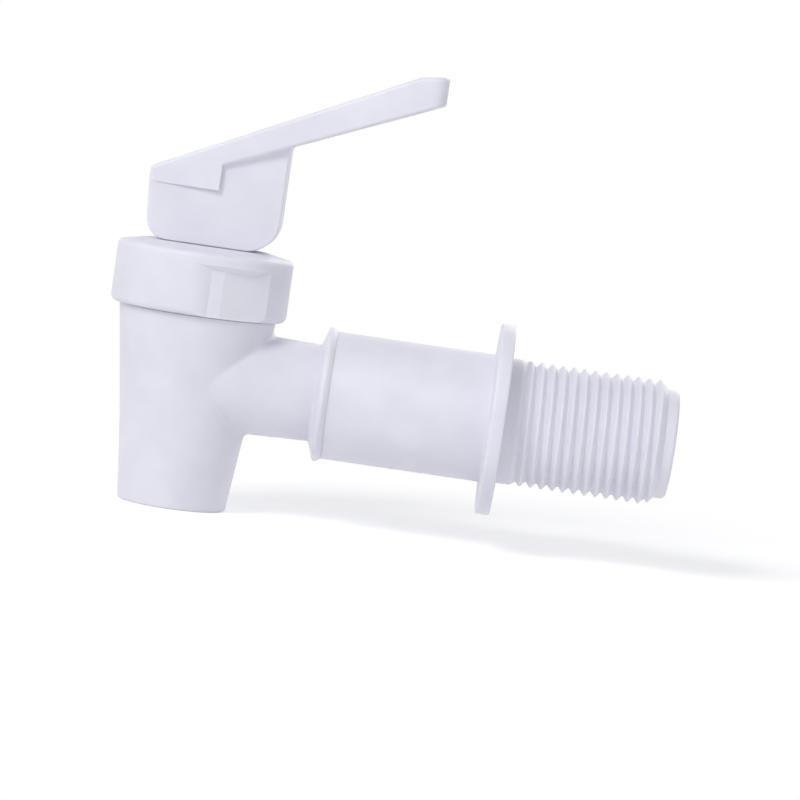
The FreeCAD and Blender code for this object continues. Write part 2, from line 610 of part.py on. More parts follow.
def make_lever_handle():
    """Cam block under the paddle, slotted for the stem, with blind trunnion sockets."""
    block = across([
        (NOSE_LEAN - LEVER_FRONT, LEVER_GAP, NOSE_RADIUS), (LEVER_BACK, LEVER_GAP, CAM_RADIUS),
        (LEVER_BACK, paddle_under(LEVER_BACK)), (CHEEK_END, paddle_under(CHEEK_END)),
        (CHEEK_END, CHEEK_HEIGHT), (-LEVER_FRONT, CHEEK_HEIGHT)], LEVER_WIDTH)
    block = block.makeFillet(CAM_EDGE, [edge for edge in block.Edges if is_block_rim(edge)])
    lever = block.fuse(make_paddle()).removeSplitter()
    lever = lever.makeFillet(BACK_FILLET, [edge for edge in lever.Edges if is_back_corner(edge)])
    slot_half = STEM_RADIUS + SLOT_CLEARANCE
    lean = math.radians(LEVER_TRAVEL)
    slot_back = CAM_RADIUS * math.tan(lean) + STEM_RADIUS / math.cos(lean) + SLOT_CLEARANCE
    slot_top = LEVER_GAP + CAM_RADIUS + STEM_RADIUS + SLOT_CLEARANCE
    slot = across([
        (-LEVER_FRONT - OVERCUT, LEVER_GAP - OVERCUT), (slot_back, LEVER_GAP - OVERCUT),
        (slot_back, slot_top, STEM_RADIUS), (-LEVER_FRONT - OVERCUT, slot_top)], 2 * slot_half)
    reach = slot_half + TRUNNION_LENGTH + TRUNNION_CLEARANCE
    socket = Part.makeCylinder(
        TRUNNION_RADIUS + TRUNNION_CLEARANCE, 2 * reach, FreeCAD.Vector(VALVE_X, -reach, PIVOT_Z), Y_AXIS)
    return lever.cut(slot).cut(socket)


def main():
    """Build every piece and write it under its node's name."""
    pieces = {
        "valve_body": make_valve_body,
        "inlet_nipple": make_inlet_nipple,
        "joint_o_ring": make_joint_o_ring,
        "bonnet_cap": make_bonnet_cap,
        "seat_cup": make_seat_cup,
        "valve_stem": make_valve_stem,
        "spring_washer": make_spring_washer,
        "return_spring": make_return_spring,
        "lever_handle": make_lever_handle,
    }
    os.makedirs("parts", exist_ok=True)
    for node, make in pieces.items():
        shape = make()
        shape.exportStep("parts/" + node + ".step")
        print(node, len(shape.Solids), shape.isValid(), round(shape.Volume, 1))


main()
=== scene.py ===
import json
import math

import bmesh
import bpy
from mathutils import Matrix, Vector
from mathutils.bvhtree import BVHTree


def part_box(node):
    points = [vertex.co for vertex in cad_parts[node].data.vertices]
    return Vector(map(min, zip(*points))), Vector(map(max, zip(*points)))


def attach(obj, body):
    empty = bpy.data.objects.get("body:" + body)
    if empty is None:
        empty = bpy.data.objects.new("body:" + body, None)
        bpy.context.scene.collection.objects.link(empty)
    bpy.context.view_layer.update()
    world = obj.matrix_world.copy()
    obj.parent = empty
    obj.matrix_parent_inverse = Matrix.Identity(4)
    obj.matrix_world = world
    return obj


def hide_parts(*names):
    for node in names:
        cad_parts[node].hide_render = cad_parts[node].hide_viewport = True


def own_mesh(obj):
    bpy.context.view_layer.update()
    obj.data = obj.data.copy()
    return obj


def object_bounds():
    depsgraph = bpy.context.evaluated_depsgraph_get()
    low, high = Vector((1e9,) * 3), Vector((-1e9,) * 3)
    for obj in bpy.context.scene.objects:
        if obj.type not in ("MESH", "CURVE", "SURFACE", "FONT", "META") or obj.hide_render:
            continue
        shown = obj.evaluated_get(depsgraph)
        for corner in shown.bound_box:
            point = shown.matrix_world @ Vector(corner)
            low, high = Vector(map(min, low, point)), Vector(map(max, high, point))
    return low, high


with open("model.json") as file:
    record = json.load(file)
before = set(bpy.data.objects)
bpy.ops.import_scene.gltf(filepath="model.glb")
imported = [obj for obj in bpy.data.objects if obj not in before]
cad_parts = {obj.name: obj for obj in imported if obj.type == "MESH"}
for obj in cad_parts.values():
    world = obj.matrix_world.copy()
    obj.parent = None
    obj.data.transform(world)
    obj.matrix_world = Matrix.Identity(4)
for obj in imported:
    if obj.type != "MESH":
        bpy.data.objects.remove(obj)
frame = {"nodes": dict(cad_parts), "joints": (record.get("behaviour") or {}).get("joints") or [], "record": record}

bl_info = {
    "name": "Lever Dispenser Tap",
    "version": (1, 0, 0),
    "blender": (4, 5, 0),
    "location": "View3D > Sidebar > Lever Tap",
    "description": "Finishes a moulded lever tap and sets it on a white stage",
    "category": "Object",
}

CAD_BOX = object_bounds()
MM = 0.001

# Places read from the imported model, in metres
MOUNTS = {mount["name"]: mount for mount in frame["record"]["mounts"]}
JOINTS = {joint["name"]: joint for joint in frame["joints"]}
VALVE_X = JOINTS["lever_swivel"]["pos_m"][0]
PIVOT_Z = JOINTS["lever_tilt"]["pos_m"][2]
SPRING_ANCHOR, CUP_ANCHOR = (
    {entry["node"]: entry["fixed_end_z_m"] for entry in JOINTS["valve_lift"]["deforming_nodes"]}[node]
    for node in ("return_spring", "seat_cup"))
THREAD_RADIUS = MOUNTS["tank_thread"]["dims"]["r_mm"] * MM
THREAD_LENGTH = MOUNTS["tank_thread"]["dims"]["length_mm"] * MM
BORE_RADIUS = MOUNTS["inlet_bore"]["dims"]["r_mm"] * MM
BORE_LENGTH = MOUNTS["inlet_bore"]["dims"]["length_mm"] * MM
FLOOR_Z = CAD_BOX[0].z

# Edges that turn by less than this are shaded smooth
HARD_EDGE = math.radians(35)
SOFT_EDGE = math.radians(80)
# Points nearer than this are one point
SAME_POINT = 0.0001 * MM
# Rounded corners have a point at about every such step
ARC_STEP = math.radians(15)
# Most of a side that one rounded corner may take
CORNER_SHARE = 0.49
# Rays that look for a surface start this far from the axis
RAY_START = 100 * MM
# Ridge of a parting line, across: shares of half its width and of its height
SEAM_SECTION = ((-1, -0.5), (-0.5, 0.75), (0, 1), (0.5, 0.75), (1, -0.5))
# Pairs of ejector pins along the paddle
PIN_ROWS = 2
# The floor in radii of the paper: half its side, and where it starts to fade to white
FLOOR_REACH = 10
FADE_START = 0.3
# Camera's sensor in millimetres, and the nearest and farthest that it sees in metres
SENSOR_WIDTH = 36
NEAREST, FARTHEST = 0.05, 10


def surface_tree(node):
    """Search tree of a CAD node's surface."""
    return BVHTree.FromObject(frame["nodes"][node], bpy.context.evaluated_depsgraph_get())


def outer_radius(tree, axis_point):
    """Distance along +Y from an axis to a node's outside."""
    start = axis_point + Vector((0, RAY_START, 0))
    return RAY_START - tree.ray_cast(start, Vector((0, -1, 0)))[3]


def inner_radius(tree, axis_point):
    """Distance along +Y from an axis to a node's inside."""
    return tree.ray_cast(axis_point, Vector((0, 1, 0)))[3]


def linear(code):
    """Linear colour of an sRGB hex code."""
    channels = [int(code[index:index + 2], 16) / 255 for index in (1, 3, 5)]
    return tuple(c / 12.92 if c <= 0.04045 else ((c + 0.055) / 1.055) ** 2.4 for c in channels)


def settings():
    """The add-on's settings in this scene."""
    return bpy.context.scene.lever_tap


def length(name, description, millimetres):
    """Length setting with its default in millimetres."""
    return bpy.props.FloatProperty(
        name=name, description=description, default=millimetres * MM, unit="LENGTH", precision=5)


class NippleSettings(bpy.types.PropertyGroup):
    """Sizes of the threaded inlet nipple."""
    pitch: length("Thread Pitch", "Crest to crest, half-inch parallel pipe thread", 1.814)
    depth: length("Thread Depth", "Crest to root", 0.86)
    neck: length("Plain Neck", "Flange to the first groove", 1.6)
    fade: length("Fade-In", "Length over which the grooves reach full depth", 2.6)
    lead: length("Lead", "Cone from the last crest down to the pilot", 1.15)
    run_out: length("Run-Out", "Thread's end to the pilot", 0.68)
    mouth_edge: length("Mouth Edge", "Rounding of the sleeve's mouth", 0.06)
    flange_fillet: length("Flange Fillet", "Sleeve into the flange", 0.6)
    flange_edge: length("Flange Edge", "Rounding of the flange's rim", 0.4)
    pilot_edge: length("Pilot Edge", "Rounding of the pilot's end", 0.7)
    bore_edge: length("Bore Edge", "Rounding of the bore's mouth", 0.3)
    snap_offset: length("Snap Offset", "Sleeve's mouth to the snap groove", 2.6)
    snap_width: length("Snap Width", "Snap groove, along the sleeve", 1.4)
    snap_slope: length("Snap Slope", "Sloping sides of the snap groove", 0.35)
    crest: bpy.props.FloatProperty(
        name="Crest Sharpness", description="1 for a sharp V, less for rounded crests and roots",
        default=0.65, min=0.1, max=0.999, subtype="FACTOR")
    rows: bpy.props.IntProperty(name="Rows", description="Mesh rows in one pitch", default=18, min=6)
    segments: bpy.props.IntProperty(
        name="Segments", description="Mesh columns round the axis", default=192, min=24)


class CupSettings(bpy.types.PropertyGroup):
    """Sizes of the soft seat cup."""
    wall: length("Wall", "Bell wall", 0.9)
    bend: length("Bend", "Rounding where the bell opens", 4.0)
    bend_drop: length("Bend Drop", "Rim's underside to the outer bend", 4.2)
    inner_drop: length("Inner Drop", "Rim's underside to the inner bend", 2.6)
    foot_radius: length("Foot Pocket", "Radius of the pocket for the stem's foot", 3.5)
    waist_radius: length("Foot Lip", "Radius of the hole in the lip over the foot", 2.1)
    foot_clearance: length("Foot Clearance", "Pocket below and above the stem's foot", 0.1)
    foot_height: length("Foot Height", "Stem's foot", 1.5)
    lip: length("Lip", "Lip over the stem's foot", 0.8)
    plug_edge: length("Plug Edge", "Rounding of the plug's sole", 0.5)
    rim_edge: length("Rim Edge", "Rounding of the rim", 0.2)
    hub: length("Hub", "Radius at which the turned outline closes", 0.02)
    segments: bpy.props.IntProperty(name="Segments", description="Mesh columns", default=96, min=24)


class SpringSettings(bpy.types.PropertyGroup):
    """Sizes of the return spring."""
    wire: length("Wire Radius", "Half the wire's thickness", 0.4)
    end_pitch: length("End Pitch", "Rise of the close turn at each end", 1.3)
    turns: bpy.props.IntProperty(name="Turns", description="Turns with the close ones", default=8, min=4)
    steps: bpy.props.IntProperty(name="Steps", description="Mesh rings in one turn", default=48, min=12)
    ring: bpy.props.IntProperty(name="Ring", description="Points round the wire", default=14, min=6)


class MarkSettings(bpy.types.PropertyGroup):
    """Sizes of the marks that the moulds leave."""
    width: length("Seam Width", "Parting line, across", 0.26)
    height: length("Seam Height", "Parting line, above the skin", 0.025)
    margin: length("Seam Margin", "Parting line short of an edge", 0.6)
    stub_start: length("Stub Start", "Valve axis to the stub's parting line", 13.6)
    stub_end: length("Stub End", "Stub's parting line short of the sleeve", 3.6)
    pin_radius: length("Ejector Radius", "Ejector-pin marks under the paddle", 1.1)
    pin_rim: length("Ejector Rim", "Raised rim round an ejector-pin mark", 0.12)
    pin_height: length("Ejector Height", "Rim above the skin", 0.06)
    pin_first: length("First Pin", "Paddle's tip to the first pair of pins", 6.0)
    pin_step: length("Pin Step", "First pair of pins to the second", 11.0)
    pin_side: length("Pin Side", "Middle of the paddle to a pin", 4.2)
    steps: bpy.props.IntProperty(name="Steps", description="Mesh rings along a seam", default=60, min=8)
    segments: bpy.props.IntProperty(name="Segments", description="Points round a pin", default=32, min=12)


class FinishSettings(bpy.types.PropertyGroup):
    """Colours and surface of the materials."""
    white: bpy.props.FloatVectorProperty(
        name="Polypropylene", description="Cool white masterbatch", subtype="COLOR", size=3,
        default=linear("#F0F0F8"), min=0, max=1)
    white_thin: bpy.props.FloatVectorProperty(
        name="Polypropylene Flow", description="Slightly greyer white where the melt flowed",
        subtype="COLOR", size=3, default=linear("#DEDEE8"), min=0, max=1)
    acetal: bpy.props.FloatVectorProperty(
        name="Acetal", description="Natural acetal", subtype="COLOR", size=3,
        default=linear("#EDEBE4"), min=0, max=1)
    silicone: bpy.props.FloatVectorProperty(
        name="Silicone", description="Milky silicone", subtype="COLOR", size=3,
        default=linear("#E3E2DC"), min=0, max=1)
    nitrile: bpy.props.FloatVectorProperty(
        name="Nitrile", description="Carbon-black rubber", subtype="COLOR", size=3,
        default=linear("#1E1E1F"), min=0, max=1)
    steel: bpy.props.FloatVectorProperty(
        name="Steel", description="Drawn stainless wire", subtype="COLOR", size=3,
        default=linear("#C9C8C6"), min=0, max=1)
    roughness: bpy.props.FloatProperty(
        name="Roughness", description="Middle roughness of the moulded skin", default=0.42, min=0, max=1)


class StageSettings(bpy.types.PropertyGroup):
    """Camera, lamps and backdrop."""
    distance: length("Camera Distance", "Camera to the aim", 600)
    frame_width: length("Frame Width", "Width of the picture at the aim", 133.33)
    aim_x: length("Aim X", "Middle of the picture along the inlet", -17.4)
    aim_z: length("Aim Z", "Middle of the picture above the inlet axis", 0.9)
    azimuth: bpy.props.FloatProperty(
        name="Azimuth", description="Camera round the tap from its side", default=0, subtype="ANGLE")
    elevation: bpy.props.FloatProperty(
        name="Elevation", description="Camera above the tap", default=math.radians(4.3), subtype="ANGLE")
    roll: bpy.props.FloatProperty(
        name="Roll", description="Tap turned clockwise in the picture", default=math.radians(8.3),
        subtype="ANGLE")
    key: bpy.props.FloatProperty(
        name="Key", description="Soft lamp at the left front", default=5.8, unit="POWER")
    key_place: bpy.props.FloatVectorProperty(
        name="Key Place", description="Key from the aim", default=(-0.58, -0.80, 0.69),
        subtype="TRANSLATION")
    key_size: bpy.props.FloatProperty(
        name="Key Size", description="Diameter of the key", default=0.5, unit="LENGTH")
    fill: bpy.props.FloatProperty(
        name="Fill", description="Broad lamp at the right front", default=0.85, unit="POWER")
    fill_place: bpy.props.FloatVectorProperty(
        name="Fill Place", description="Fill from the aim", default=(0.7, -0.8, 0.25),
        subtype="TRANSLATION")
    fill_size: bpy.props.FloatProperty(
        name="Fill Size", description="Diameter of the fill", default=0.8, unit="LENGTH")
    back: bpy.props.FloatProperty(
        name="Back", description="Broad lamp behind the tap", default=2.6, unit="POWER")
    back_place: bpy.props.FloatVectorProperty(
        name="Back Place", description="Back lamp from the aim", default=(0.35, 1.0, 0.5),
        subtype="TRANSLATION")
    back_size: bpy.props.FloatProperty(
        name="Back Size", description="Diameter of the back lamp", default=0.8, unit="LENGTH")
    ambient: bpy.props.FloatProperty(
        name="Ambient", description="Light from all round", default=0.495, min=0)
    ambient_tint: bpy.props.FloatVectorProperty(
        name="Ambient Tint", description="Cool tint of the light from all round", subtype="COLOR", size=3,
        default=linear("#FAFBFF"), min=0, max=1)
    paper: length("Paper Radius", "Where the floor has faded to white", 200)
    paper_glow: bpy.props.FloatProperty(
        name="Paper Glow", description="Light that lifts the lit floor to white", default=0.33, min=0)
    paper_bounce: bpy.props.FloatProperty(
        name="Paper Bounce", description="Light that the floor gives back to the tap's underside",
        default=0.065, min=0)


class TapSettings(bpy.types.PropertyGroup):
    """All settings of the tap."""
    nipple: bpy.props.PointerProperty(type=NippleSettings, name="Nipple", description="Threaded inlet")
    cup: bpy.props.PointerProperty(type=CupSettings, name="Seat Cup", description="Soft seat cup")
    spring: bpy.props.PointerProperty(type=SpringSettings, name="Spring", description="Return spring")
    marks: bpy.props.PointerProperty(type=MarkSettings, name="Mould Marks", description="Seams and pins")
    finish: bpy.props.PointerProperty(type=FinishSettings, name="Finish", description="Materials")
    stage: bpy.props.PointerProperty(type=StageSettings, name="Stage", description="Camera and lamps")


def add_node(tree, kind, props=None, values=None, links=None):
    """Add a shader node, set its properties and inputs, and link inputs to other outputs."""
    node = tree.nodes.new(kind)
    for name, value in (props or {}).items():
        setattr(node, name, value)
    for socket, value in (values or {}).items():
        node.inputs[socket].default_value = value
    for socket, source in (links or {}).items():
        tree.links.new(source, node.inputs[socket])
    return node


def new_material(name):
    """Empty node material with its output, tree and millimetre coordinates."""
    material = bpy.data.materials.new(name)
    material.use_nodes = True
    tree = material.node_tree
    tree.nodes.clear()
    output = add_node(tree, "ShaderNodeOutputMaterial")
    place = add_node(tree, "ShaderNodeTexCoord")
    scale = add_node(
        tree, "ShaderNodeMapping", values={"Scale": (1 / MM,) * 3},
        links={"Vector": place.outputs["Object"]})
    return material, tree, output, scale.outputs["Vector"]


def moulded_polypropylene(finish):
    """White polypropylene from a satin mould: cloudy depth, faint flow and a fine skin."""
    material, tree, output, place = new_material("polypropylene_injection_moulded_satin")
    # Melt flow leaves clouds some 9 mm wide, barely greyer than the rest.
    clouds = add_node(
        tree, "ShaderNodeTexNoise", values={"Scale": 1 / 9, "Detail": 2.0, "Roughness": 0.5},
        links={"Vector": place})
    tint = add_node(
        tree, "ShaderNodeMix", {"data_type": "RGBA"},
        {"A": (*finish.white, 1), "B": (*finish.white_thin, 1)}, {"Factor": clouds.outputs["Fac"]})
    # Handling dulls the skin in patches 3 mm wide.
    patches = add_node(
        tree, "ShaderNodeTexNoise", values={"Scale": 1 / 3, "Detail": 4.0, "Roughness": 0.55},
        links={"Vector": place})
    rough = add_node(
        tree, "ShaderNodeMapRange",
        values={"To Min": finish.roughness - 0.08, "To Max": finish.roughness + 0.08},
        links={"Value": patches.outputs["Fac"]})
    # Shrinkage waves the skin over 6 mm. The eroded mould prints a finer grain than the 0.3 mm drawn here,
    # which is as coarse as it needs to be to show.
    waves = add_node(
        tree, "ShaderNodeTexNoise", values={"Scale": 1 / 6, "Detail": 1.0}, links={"Vector": place})
    wave_bump = add_node(
        tree, "ShaderNodeBump", values={"Strength": 0.35, "Distance": 0.00012},
        links={"Height": waves.outputs["Fac"]})
    grain = add_node(
        tree, "ShaderNodeTexNoise", values={"Scale": 1 / 0.3, "Detail": 3.0}, links={"Vector": place})
    grain_bump = add_node(
        tree, "ShaderNodeBump", values={"Strength": 0.22, "Distance": 0.00001},
        links={"Height": grain.outputs["Fac"], "Normal": wave_bump.outputs["Normal"]})
    # Light sinks about a millimetre into the wall and softens every edge.
    skin = add_node(
        tree, "ShaderNodeBsdfPrincipled",
        values={"IOR": 1.49, "Specular IOR Level": 0.4, "Subsurface Weight": 0.4,
                "Subsurface Radius": (1.1, 1.0, 1.15), "Subsurface Scale": 0.0011},
        links={"Base Color": tint.outputs["Result"], "Roughness": rough.outputs["Result"],
               "Normal": grain_bump.outputs["Normal"]})
    tree.links.new(skin.outputs["BSDF"], output.inputs["Surface"])
    return material


def moulded_acetal(finish):
    """Natural acetal from a polished mould: denser, creamier and slicker than polypropylene."""
    material, tree, output, place = new_material("acetal_injection_moulded")
    patches = add_node(
        tree, "ShaderNodeTexNoise", values={"Scale": 1 / 2, "Detail": 3.0}, links={"Vector": place})
    shade = add_node(
        tree, "ShaderNodeMix", {"data_type": "RGBA"},
        {"A": (*finish.acetal, 1), "B": (*(0.94 * channel for channel in finish.acetal), 1)},
        {"Factor": patches.outputs["Fac"]})
    rough = add_node(
        tree, "ShaderNodeMapRange", values={"To Min": 0.24, "To Max": 0.36},
        links={"Value": patches.outputs["Fac"]})
    grain = add_node(
        tree, "ShaderNodeTexNoise", values={"Scale": 1 / 0.4, "Detail": 2.0}, links={"Vector": place})
    bump = add_node(
        tree, "ShaderNodeBump", values={"Strength": 0.15, "Distance": 0.00001},
        links={"Height": grain.outputs["Fac"]})
    skin = add_node(
        tree, "ShaderNodeBsdfPrincipled",
        values={"IOR": 1.48, "Subsurface Weight": 0.2, "Subsurface Radius": (1.0, 0.95, 0.85),
                "Subsurface Scale": 0.0006},
        links={"Base Color": shade.outputs["Result"], "Roughness": rough.outputs["Result"],
               "Normal": bump.outputs["Normal"]})
    tree.links.new(skin.outputs["BSDF"], output.inputs["Surface"])
    return material


def cured_silicone(finish):
    """Compression-moulded silicone: milky, soft-edged and slightly see-through."""
    material, tree, output, place = new_material("silicone_compression_moulded")
    haze = add_node(
        tree, "ShaderNodeTexNoise", values={"Scale": 1 / 4, "Detail": 2.0}, links={"Vector": place})
    tint = add_node(
        tree, "ShaderNodeMix", {"data_type": "RGBA"},
        {"A": (*finish.silicone, 1), "B": (*(0.92 * channel for channel in finish.silicone), 1)},
        {"Factor": haze.outputs["Fac"]})
    rough = add_node(
        tree, "ShaderNodeMapRange", values={"To Min": 0.42, "To Max": 0.58},
        links={"Value": haze.outputs["Fac"]})
    # The blasted mould leaves a matt grain of 0.5 mm.
    grain = add_node(
        tree, "ShaderNodeTexNoise", values={"Scale": 1 / 0.5, "Detail": 2.0}, links={"Vector": place})
    bump = add_node(
        tree, "ShaderNodeBump", values={"Strength": 0.2, "Distance": 0.00001},
        links={"Height": grain.outputs["Fac"]})
    skin = add_node(
        tree, "ShaderNodeBsdfPrincipled",
        values={"IOR": 1.41, "Transmission Weight": 0.25, "Subsurface Weight": 0.4,
                "Subsurface Radius": (1.0, 1.0, 0.9), "Subsurface Scale": 0.0012},
        links={"Base Color": tint.outputs["Result"], "Roughness": rough.outputs["Result"],
               "Normal": bump.outputs["Normal"]})
    tree.links.new(skin.outputs["BSDF"], output.inputs["Surface"])
    return material


def moulded_nitrile(finish):
    """Moulded nitrile rubber: black, matt, with a talc bloom."""
    material, tree, output, place = new_material("nitrile_rubber_moulded")
    bloom = add_node(
        tree, "ShaderNodeTexNoise", values={"Scale": 1 / 0.8, "Detail": 4.0}, links={"Vector": place})
    tint = add_node(
        tree, "ShaderNodeMix", {"data_type": "RGBA"},
        {"A": (*finish.nitrile, 1), "B": (*(2.2 * channel for channel in finish.nitrile), 1)},
        {"Factor": bloom.outputs["Fac"]})
    rough = add_node(
        tree, "ShaderNodeMapRange", values={"To Min": 0.55, "To Max": 0.75},
        links={"Value": bloom.outputs["Fac"]})
    bump = add_node(
        tree, "ShaderNodeBump", values={"Strength": 0.2, "Distance": 0.00001},
        links={"Height": bloom.outputs["Fac"]})
    skin = add_node(
        tree, "ShaderNodeBsdfPrincipled", values={"IOR": 1.52},
        links={"Base Color": tint.outputs["Result"], "Roughness": rough.outputs["Result"],
               "Normal": bump.outputs["Normal"]})
    tree.links.new(skin.outputs["BSDF"], output.inputs["Surface"])
    return material


def drawn_wire(finish):
    """Stainless wire drawn through a die: bright, with a faint broken sheen."""
    material, tree, output, place = new_material("stainless_wire_drawn")
    lines = add_node(
        tree, "ShaderNodeTexNoise", values={"Scale": 1 / 0.25, "Detail": 3.0}, links={"Vector": place})
    rough = add_node(
        tree, "ShaderNodeMapRange", values={"To Min": 0.2, "To Max": 0.38},
        links={"Value": lines.outputs["Fac"]})
    tint = add_node(
        tree, "ShaderNodeMix", {"data_type": "RGBA"},
        {"A": (*finish.steel, 1), "B": (*(0.85 * channel for channel in finish.steel), 1)},
        {"Factor": lines.outputs["Fac"]})
    bump = add_node(
        tree, "ShaderNodeBump", values={"Strength": 0.1, "Distance": 0.000005},
        links={"Height": lines.outputs["Fac"]})
    skin = add_node(
        tree, "ShaderNodeBsdfPrincipled", values={"Metallic": 1.0},
        links={"Base Color": tint.outputs["Result"], "Roughness": rough.outputs["Result"],
               "Normal": bump.outputs["Normal"]})
    tree.links.new(skin.outputs["BSDF"], output.inputs["Surface"])
    return material


FINISHES = {
    "white_polypropylene": moulded_polypropylene,
    "white_acetal": moulded_acetal,
    "clear_silicone": cured_silicone,
    "nitrile_rubber": moulded_nitrile,
    "spring_steel": drawn_wire,
}
MADE_FINISHES = {}


def finish_piece(obj, slot):
    """Give a piece the finish of one of the record's material slots."""
    if slot not in MADE_FINISHES:
        MADE_FINISHES[slot] = FINISHES[slot](settings().finish)
    obj.data.materials.clear()
    obj.data.materials.append(MADE_FINISHES[slot])


def mesh_piece(name, points, faces, body, slot, smooth_angle=HARD_EDGE):
    """Closed mesh from points and faces, finished and fixed to a body."""
    mesh = bpy.data.meshes.new(name)
    shape = bmesh.new()
    at_place = {}
    made = []
    for point in points:
        place = tuple(round(value / SAME_POINT) for value in point)
        if place not in at_place:
            at_place[place] = shape.verts.new(point)
        made.append(at_place[place])
    for face in faces:
        corners = list(dict.fromkeys(made[index] for index in face))
        if len(corners) > 2:
            shape.faces.new(corners)
    bmesh.ops.recalc_face_normals(shape, faces=shape.faces)
    for face in shape.faces:
        face.smooth = True
    for edge in shape.edges:
        edge.smooth = len(edge.link_faces) == 2 and edge.calc_face_angle(0) < smooth_angle
    shape.to_mesh(mesh)
    shape.free()
    obj = bpy.data.objects.new(name, mesh)
    bpy.context.scene.collection.objects.link(obj)
    finish_piece(obj, slot)
    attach(obj, body)
    return obj


def rounded_outline(corners, closed=True):
    """Points of an outline whose corners (u, v, radius) are rounded by arcs."""
    points = []
    count = len(corners)
    for index, (u, v, radius) in enumerate(corners):
        corner = Vector((u, v))
        before = Vector(corners[index - 1][:2]) - corner
        after = Vector(corners[(index + 1) % count][:2]) - corner
        at_end = not closed and index in (0, count - 1)
        if radius <= 0 or at_end:
            points.append((u, v))
            continue
        half = before.angle(after) / 2
        reach = min(
            radius / math.tan(half), before.length * CORNER_SHARE, after.length * CORNER_SHARE)
        radius = reach * math.tan(half)
        bisector = (before.normalized() + after.normalized()).normalized()
        centre = corner + bisector * (radius / math.sin(half))
        start = corner + before.normalized() * reach - centre
        end = corner + after.normalized() * reach - centre
        sweep = start.angle_signed(end)
        steps = max(3, int(abs(sweep) / ARC_STEP))
        for step in range(steps + 1):
            turned = start.copy()
            turned.rotate(Matrix.Rotation(-sweep * step / steps, 2))
            points.append(tuple(centre + turned))
    return points


def lathe(outline, segments, place):
    """Points and faces of an outline turned in a closed ring; place maps (u, v, angle) to a point."""
    points = []
    faces = []
    count = len(outline)
    for index, (u, v) in enumerate(outline):
        points += [place(u, v, math.tau * column / segments) for column in range(segments)]
        following = (index + 1) % count
        for column in range(segments):
            ahead = (column + 1) % segments
            faces.append((
                index * segments + column, index * segments + ahead,
                following * segments + ahead, following * segments + column))
    return points, faces


def about_inlet(x, radius, angle):
    """Point round the inlet axis."""
    return Vector((x, radius * math.sin(angle), radius * math.cos(angle)))


def about_valve(radius, z, angle):
    """Point round the valve axis."""
    return Vector((VALVE_X + radius * math.cos(angle), radius * math.sin(angle), z))


def thread_wave(turn, sharpness):
    """Depth share of a V thread with rounded crest and root: 0 at the crest, 1 at the root."""
    return 0.5 - 0.5 * math.asin(sharpness * math.cos(math.tau * turn)) / math.asin(sharpness)


def thread_points(nipple, start, end, pilot_radius):
    """Grid of a right-hand thread whose rows follow the helix, clamped to plain rings at its ends."""
    rows = nipple.rows * (int(math.ceil((end - start) / nipple.pitch)) + 2)
    points = []
    for row in range(rows + 1):
        for column in range(nipple.segments):
            turn = row / nipple.rows - column / nipple.segments - 1
            x = min(max(start + turn * nipple.pitch, start), end)
            groove = nipple.depth * thread_wave(row / nipple.rows, nipple.crest)
            groove *= min(max((x - start) / nipple.fade, 0), 1)
            cone = pilot_radius + (THREAD_RADIUS - pilot_radius) * (end - x) / nipple.lead
            radius = min(THREAD_RADIUS - groove, cone) if x < end else pilot_radius
            points.append(about_inlet(x, radius, math.tau * column / nipple.segments))
    return points, rows


def thread_faces(nipple, rows):
    """Faces of the thread's grid, whose last column joins the first one pitch on."""
    faces = []
    for row in range(rows):
        for column in range(nipple.segments):
            ahead = (column + 1) % nipple.segments
            shift = 0 if ahead else nipple.rows
            corners = (row, column), (row + 1, column), (row + 1 - shift, ahead), (row - shift, ahead)
            faces.append(tuple(min(max(r, 0), rows) * nipple.segments + c for r, c in corners))
    return faces


def open_lathe(outline, segments, place):
    """Points and faces of an outline turned round an axis, open at its two ends."""
    points, faces = lathe(outline, segments, place)
    return points, faces[:-segments]


class TAP_OT_mouldings(bpy.types.Operator):
    """Give the body, cap and lever their moulded finish"""
    bl_idname = "lever_tap.mouldings"
    bl_label = "Finish Mouldings"

    def execute(self, context):
        for name in ("valve_body", "bonnet_cap", "lever_handle"):
            finish_piece(frame["nodes"][name], "white_polypropylene")
        return {"FINISHED"}


class TAP_OT_inner_parts(bpy.types.Operator):
    """Give the stem, washer and seal ring their finish"""
    bl_idname = "lever_tap.inner_parts"
    bl_label = "Finish Inner Parts"

    def execute(self, context):
        for name in ("valve_stem", "spring_washer"):
            finish_piece(frame["nodes"][name], "white_acetal")
        finish_piece(frame["nodes"]["joint_o_ring"], "nitrile_rubber")
        return {"FINISHED"}


